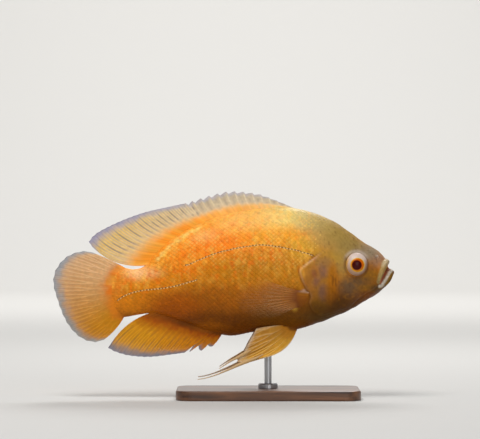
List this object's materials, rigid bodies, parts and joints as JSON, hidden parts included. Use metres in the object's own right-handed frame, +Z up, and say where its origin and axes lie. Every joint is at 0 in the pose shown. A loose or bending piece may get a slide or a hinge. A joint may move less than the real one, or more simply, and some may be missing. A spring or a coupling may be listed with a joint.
{
  "type": "oscar fish model",
  "caption": "Life-size albino-gold oscar cichlid, fins spread as it swims level, on a wooden board with a short steel rod.",
  "frame": {"origin": "centre of the bottom face of the stand's board, where it rests on the floor", "axes": "+X from tail to snout, +Y to the fish's left, +Z up"},
  "size_m": [0.279, 0.084, 0.1696],
  "materials": {
    "head_skin": "moist olive-gold skin of the head, slightly glossy",
    "gill_cover": "moist gold skin with mauve-grey blotches",
    "flank_skin": "bright orange scaled skin, glossy",
    "tail_skin": "orange scaled skin of the tail's stalk",
    "yellow_fin": "yellow-orange fin, pale rays and edge, lets light through",
    "pale_fin": "cream fin with yellow stripes, lets light through",
    "eye": "wet eye: white rim, orange-yellow ring, dark red pupil",
    "walnut": "oiled walnut board",
    "steel": "brushed steel rod and collar"
  },
  "bodies": {
    "root": {"head": "head_skin", "lower_jaw": "head_skin", "gill_cover_right": "gill_cover", "gill_cover_left": "gill_cover", "torso": "flank_skin", "tail_peduncle": "tail_skin", "caudal_fin": "yellow_fin", "dorsal_fin": "pale_fin", "anal_fin": "yellow_fin", "pectoral_fin_right": "yellow_fin", "pectoral_fin_left": "yellow_fin", "pelvic_fin_right": "pale_fin", "pelvic_fin_left": "pale_fin", "eye_right": "eye", "eye_left": "eye", "stand_base": "walnut", "stand_rod": "steel"}
  },
  "joints": []
}
